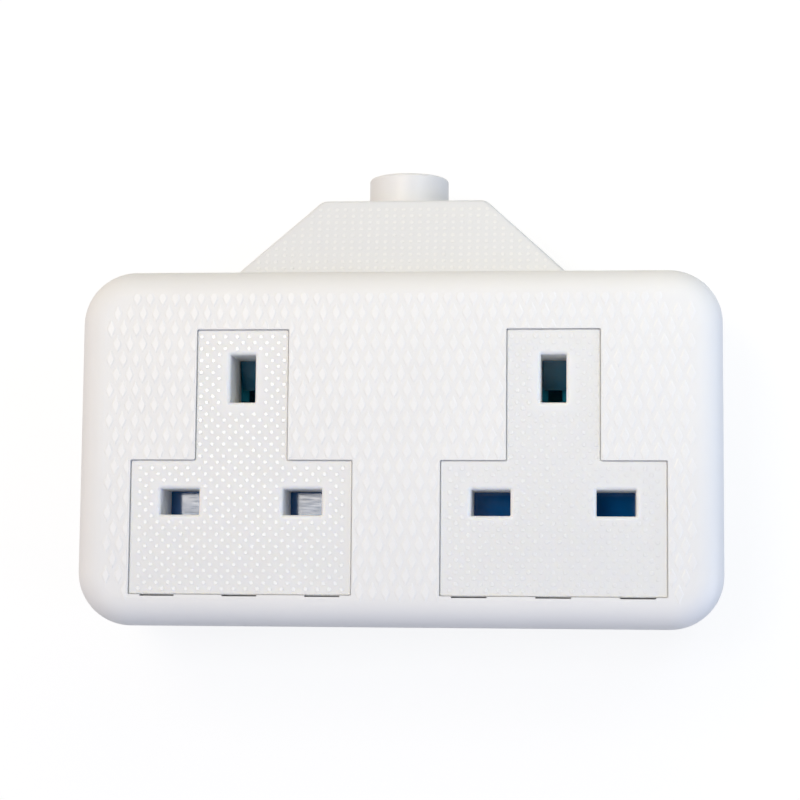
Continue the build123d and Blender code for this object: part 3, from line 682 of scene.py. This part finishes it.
def draw_t(side, out):
    """A flat T in the seat's plane that reaches out past one face, left in edit mode."""
    middle, half_bar, bottom, shoulder, top, height = outlines[side]
    foot = bottom - bottom_gap
    roof = shoulder + out
    stem = stem_half + out
    bpy.ops.object.select_all(action="DESELECT")
    bpy.ops.mesh.primitive_plane_add(size=1, location=(middle, (foot + roof) / 2, height - seat_depth))
    bpy.ops.transform.resize(value=(2 * (half_bar + out), roof - foot, 1))
    bpy.ops.object.transform_apply(location=True, rotation=True, scale=True)
    plate = bpy.context.object
    bpy.ops.object.mode_set(mode="EDIT")
    for sign in (-1, 1):
        bpy.ops.mesh.select_all(action="SELECT")
        place = (middle + sign * stem, 0, 0)
        bpy.ops.mesh.bisect(plane_co=place, plane_no=(1, 0, 0), threshold=cut_tolerance)
    bpy.ops.mesh.select_mode(type="EDGE")
    bpy.ops.mesh.select_all(action="DESELECT")
    bpy.ops.object.mode_set(mode="OBJECT")
    for edge in plate.data.edges:
        ends = [plate.data.vertices[i].co for i in edge.vertices]
        under_stem = max(abs(end.x - middle) for end in ends) < stem + cut_tolerance
        edge.select = under_stem and min(end.y for end in ends) > roof - cut_tolerance
    bpy.ops.object.mode_set(mode="EDIT")
    bpy.ops.mesh.extrude_region_move(TRANSFORM_OT_translate={"value": (0, top + out - roof, 0)})
    return plate


print("seats lie", seat_depth / MM, "mm below the faces")

# %% Seats
face_gap = 0.18 * MM
seat_height = 0.5 * MM
seat_width = 0.3 * MM


def model_seat(side):
    """A T-shaped ring under the gap around one face, with its edges tucked into both walls."""
    seat = draw_t(side, (face_gap + seat_width) / 2)
    bpy.ops.mesh.select_mode(type="FACE")
    bpy.ops.mesh.select_all(action="SELECT")
    bpy.ops.mesh.inset(thickness=seat_width)
    bpy.ops.mesh.delete(type="FACE")
    bpy.ops.mesh.select_all(action="SELECT")
    bpy.ops.mesh.extrude_region_move(TRANSFORM_OT_translate={"value": (0, 0, -seat_height)})
    bpy.ops.mesh.select_all(action="SELECT")
    bpy.ops.mesh.normals_make_consistent(inside=False)
    # An inset lists its faces in a new order each time, so they are put in order by their place
    bpy.ops.mesh.sort_elements(type="CURSOR_DISTANCE", elements={"VERT", "EDGE", "FACE"})
    bpy.ops.object.mode_set(mode="OBJECT")
    seat.name = side + "_face_seat"
    seat.data.name = seat.name
    seat.data.materials.append(finishes["cover_plastic"])
    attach(seat, "housing")
    print(seat.name, "has", len(seat.data.polygons), "faces")


for side in sides:
    model_seat(side)

# %% [markdown]
# ## Diamonds on the cover
#
# The cover's flat face is covered with tall narrow diamonds, in rows that interlock. One diamond is a
# cylinder with four sides, stretched along Y, with rounded corners and its top drawn in so that its flanks
# slope gently. A bump texture would be quicker, but would lie flat in a grazing view.

# %% One diamond
diamond_pitch = 2.35 * MM
diamond_row = 2.78 * MM
diamond_width = 2.0 * MM
diamond_height = 4.4 * MM
diamond_rise = 0.085 * MM
diamond_sunk = 0.04 * MM
diamond_top = 0.62
diamond_rounding = 0.3 * MM
diamond_smooth = radians(8)
faces_up = 0.5


def model_diamond():
    """A low four-sided pillow with sloping flanks and rounded corners, sunk a little into the cover."""
    bpy.ops.object.select_all(action="DESELECT")
    depth = diamond_rise + diamond_sunk
    bpy.ops.mesh.primitive_cylinder_add(vertices=4, radius=0.5, depth=depth)
    bpy.ops.transform.resize(value=(diamond_width, diamond_height, 1))
    bpy.ops.transform.translate(value=(0, 0, diamond_rise - depth / 2))
    bpy.ops.object.transform_apply(location=True, rotation=True, scale=True)
    diamond = bpy.context.object
    diamond.name = "cover_diamond"
    bpy.ops.object.mode_set(mode="EDIT")
    bpy.ops.mesh.select_mode(type="EDGE")
    bpy.ops.mesh.select_all(action="DESELECT")
    bpy.ops.object.mode_set(mode="OBJECT")
    for edge in diamond.data.edges:
        ends = [diamond.data.vertices[i].co.z for i in edge.vertices]
        edge.select = abs(ends[0] - ends[1]) > depth / 2
    bpy.ops.object.mode_set(mode="EDIT")
    bpy.ops.mesh.bevel(offset=diamond_rounding, segments=rounding_steps, affect="EDGES")
    bpy.ops.mesh.select_mode(type="FACE")
    bpy.ops.mesh.select_all(action="DESELECT")
    bpy.ops.object.mode_set(mode="OBJECT")
    for face in diamond.data.polygons:
        face.select = face.normal.z > faces_up
    bpy.ops.object.mode_set(mode="EDIT")
    bpy.ops.transform.resize(value=(diamond_top, diamond_top, 1))
    bpy.ops.object.mode_set(mode="OBJECT")
    bpy.ops.object.shade_smooth_by_angle(angle=diamond_smooth)
    return diamond


diamond = model_diamond()
print("one diamond has", len(diamond.data.polygons), "faces")

# %% [markdown]
# The mould's pattern doesn't stop at whole diamonds: those that reach past the field are cut straight, along
# the socket openings and where the cover's rounded edge begins. Cutting each one would be slow, so diamonds
# that need the same cuts form a group, and one bisect per cut serves them all. Where an opening would take
# most of a diamond, it is left out.

# %% Flat field of the cover
field_edge = 4.6 * MM
field_corner = 5.0 * MM
cut_margin = 0.3 * MM
opening_lip = 0.4 * MM
cover_low, cover_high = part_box("front_cover")
field_half_x = (cover_high.x - cover_low.x) / 2 - field_edge
field_half_y = (cover_high.y - cover_low.y) / 2 - field_edge


def in_flat_field(x, y):
    """Whether a diamond's middle lies on the flat field of the cover, whose corners are round."""
    into_corner = (abs(x) - field_half_x + field_corner, abs(y) - field_half_y + field_corner)
    if min(into_corner) > 0:
        return hypot(*into_corner) < field_corner - diamond_width / 2
    return max(into_corner) < field_corner - cut_margin


def opening_boxes():
    """Each T opening as two boxes, its bar and its stem, with a plain lip around them."""
    boxes = []
    for middle, half_bar, bottom, shoulder, top, _ in outlines.values():
        for half, high in ((half_bar, shoulder), (stem_half, top)):
            reach = half + opening_lip
            boxes.append((middle - reach, bottom - opening_lip, middle + reach, high + opening_lip))
    return boxes


openings = opening_boxes()
print("field of", round(2 * field_half_x / MM, 1), "by", round(2 * field_half_y / MM, 1), "mm")

# %% Diamond places
most_covered = 0.3
first_diamond = (-0.5 * MM, 21.3 * MM)
diamond_half = (diamond_width / 2, diamond_height / 2)


def field_cuts(x, y):
    """The straight cuts that a diamond at this place needs, or None where too little of it would be left."""
    cuts = []
    for low_x, low_y, high_x, high_y in openings:
        ways = {
            ((low_x, 0, 0), (1, 0, 0)): (low_x - x) / diamond_half[0],
            ((high_x, 0, 0), (-1, 0, 0)): (x - high_x) / diamond_half[0],
            ((0, low_y, 0), (0, 1, 0)): (low_y - y) / diamond_half[1],
            ((0, high_y, 0), (0, -1, 0)): (y - high_y) / diamond_half[1],
        }
        cut = max(ways, key=ways.get)
        if ways[cut] < -most_covered:
            return None
        if ways[cut] < 1:
            cuts.append(cut)
    for sign in (-1, 1):
        if sign * x + diamond_half[0] > field_half_x:
            cuts.append(((sign * field_half_x, 0, 0), (sign, 0, 0)))
        if sign * y + diamond_half[1] > field_half_y:
            cuts.append(((0, sign * field_half_y, 0), (0, sign, 0)))
    return tuple(cuts)


def diamond_groups():
    """Places of the diamonds in interlocking rows, grouped by the cuts that they need."""
    columns = int(cover_high.x / diamond_pitch) + 1
    rows = int(2 * cover_high.y / diamond_row) + 1
    groups = {}
    for row in range(-rows, rows + 1):
        for column in range(-columns, columns + 1):
            x = first_diamond[0] + (column + (0.5 if row % 2 else 0.0)) * diamond_pitch
            y = first_diamond[1] + row * diamond_row
            cuts = field_cuts(x, y)
            if in_flat_field(x, y) and cuts is not None:
                groups.setdefault(cuts, []).append((x, y, cad_high.z))
    return groups


groups = diamond_groups()
print(sum(len(places) for places in groups.values()), "diamonds in", len(groups), "groups")

# %% Diamond field


def cut_group(piece, cuts):
    """Cuts a group of diamonds along straight edges and closes them there."""
    bpy.ops.object.select_all(action="DESELECT")
    piece.select_set(True)
    bpy.context.view_layer.objects.active = piece
    bpy.ops.object.mode_set(mode="EDIT")
    for place, outwards in cuts:
        bpy.ops.mesh.select_all(action="SELECT")
        bpy.ops.mesh.bisect(
            plane_co=place, plane_no=outwards, use_fill=True, clear_outer=True, threshold=cut_tolerance
        )
    bpy.ops.object.mode_set(mode="OBJECT")


fields = []
for cuts, places in groups.items():
    fields.append(spread_copies(diamond, "diamond_group", places))
    cut_group(fields[-1], cuts)
bpy.ops.object.select_all(action="DESELECT")
for field in fields:
    field.select_set(True)
bpy.context.view_layer.objects.active = fields[0]
bpy.ops.object.join()
cover_diamonds = bpy.context.object
cover_diamonds.name = "cover_diamonds"
cover_diamonds.data.name = "cover_diamonds"
bpy.ops.object.shade_smooth_by_angle(angle=diamond_smooth)
dress(cover_diamonds, "satin_diamonds_painted_highlight")
bpy.data.objects.remove(diamond)
print("diamond field has", len(cover_diamonds.data.polygons), "faces")

# %% [markdown]
# ## Dots on the neck
#
# The sloping face of the cable entry has a finer grid of faint dots. A grid could be drawn flat and tilted
# as a whole, but the slope narrows, so each row is made as wide as the taper leaves there. The dot is the
# same button as on the faces, a little narrower and taller.

# %% Neck dots
neck_root = 30.2 * MM
neck_end = 15.2 * MM
neck_end_height = 25.5 * MM
neck_dot_pitch = 1.55 * MM
neck_dot_row = 1.36 * MM
neck_dot_margin = 1.3 * MM
rows_before_first = 0.75
base_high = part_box("rear_base")[1]
slope_start = (cover_high.y, base_high.z)
slope_end = (base_high.y, neck_end_height)
slope_length = hypot(slope_end[0] - slope_start[0], slope_end[1] - slope_start[1])
slope_tilt = atan2(slope_end[1] - slope_start[1], slope_end[0] - slope_start[0])

neck_places = []
for row in range(int(slope_length / neck_dot_row)):
    along = (row + rows_before_first) * neck_dot_row / slope_length
    y = slope_start[0] + along * (slope_end[0] - slope_start[0])
    z = slope_start[1] + along * (slope_end[1] - slope_start[1])
    half = neck_root + along * (neck_end - neck_root) - neck_dot_margin
    columns = int(half / neck_dot_pitch)
    if along * slope_length < slope_length - neck_dot_margin:
        neck_places += [(column * neck_dot_pitch, y, z) for column in range(-columns, columns + 1)]
neck_dot = model_dot("neck_dot", radius=0.36 * MM, height=0.06 * MM)
dress(spread_copies(neck_dot, "neck_dots", neck_places, slope_tilt), "satin_dots")
bpy.data.objects.remove(neck_dot)

# %% [markdown]
# ## Shutter springs
#
# Behind each face a coil spring pushes the shutter closed. A curve with a round bevel could give the coil,
# but the Screw modifier needs only the wire's section and a pitch, and closed ends finish it.

# %% Wound wire
wire_radius = 0.25 * MM
coil_turns = 7
turn_steps = 20
wire_sides = 8


def wind_wire(outer_radius, length):
    """A coil of round wire along Z with closed ends, which starts at the origin."""
    bpy.ops.object.select_all(action="DESELECT")
    bpy.ops.mesh.primitive_circle_add(vertices=wire_sides, radius=wire_radius, fill_type="NOTHING")
    bpy.ops.transform.rotate(value=pi / 2, orient_axis="X", center_override=(0, 0, 0))
    bpy.ops.transform.translate(value=(outer_radius - wire_radius, 0, 0))
    bpy.ops.object.transform_apply(location=True, rotation=True, scale=True)
    coil = bpy.context.object
    screw = coil.modifiers.new("turns", "SCREW")
    screw.iterations = coil_turns
    screw.screw_offset = (length - 2 * wire_radius) / coil_turns
    screw.steps = turn_steps
    screw.render_steps = turn_steps
    bpy.ops.object.modifier_apply(modifier="turns")
    bpy.ops.object.mode_set(mode="EDIT")
    bpy.ops.mesh.select_mode(type="EDGE")
    bpy.ops.mesh.select_all(action="DESELECT")
    bpy.ops.mesh.select_non_manifold()
    bpy.ops.mesh.fill()
    bpy.ops.mesh.select_all(action="SELECT")
    bpy.ops.mesh.normals_make_consistent(inside=False)
    bpy.ops.object.mode_set(mode="OBJECT")
    return coil


print("a coil has", coil_turns, "turns of", 2 * wire_radius / MM, "mm wire")

# %% Springs
coil_smooth = radians(60)


def model_coil(side):
    """A coil spring in the place of one shutter's spring."""
    node = side + "_shutter_spring"
    low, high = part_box(node)
    length = high.y - low.y
    coil = wind_wire((high.x - low.x) / 2, length)
    coil.name = side + "_shutter_coil"
    coil.rotation_euler = (-pi / 2, 0, 0)
    coil.location = ((low.x + high.x) / 2, low.y + wire_radius, (low.z + high.z) / 2)
    bpy.ops.object.transform_apply(location=True, rotation=True, scale=True)
    bpy.ops.object.shade_smooth_by_angle(angle=coil_smooth)
    coil.data.materials.append(finishes["spring_steel"])
    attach(coil, "housing")
    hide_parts(node)
    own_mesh(coil)


for side in sides:
    model_coil(side)
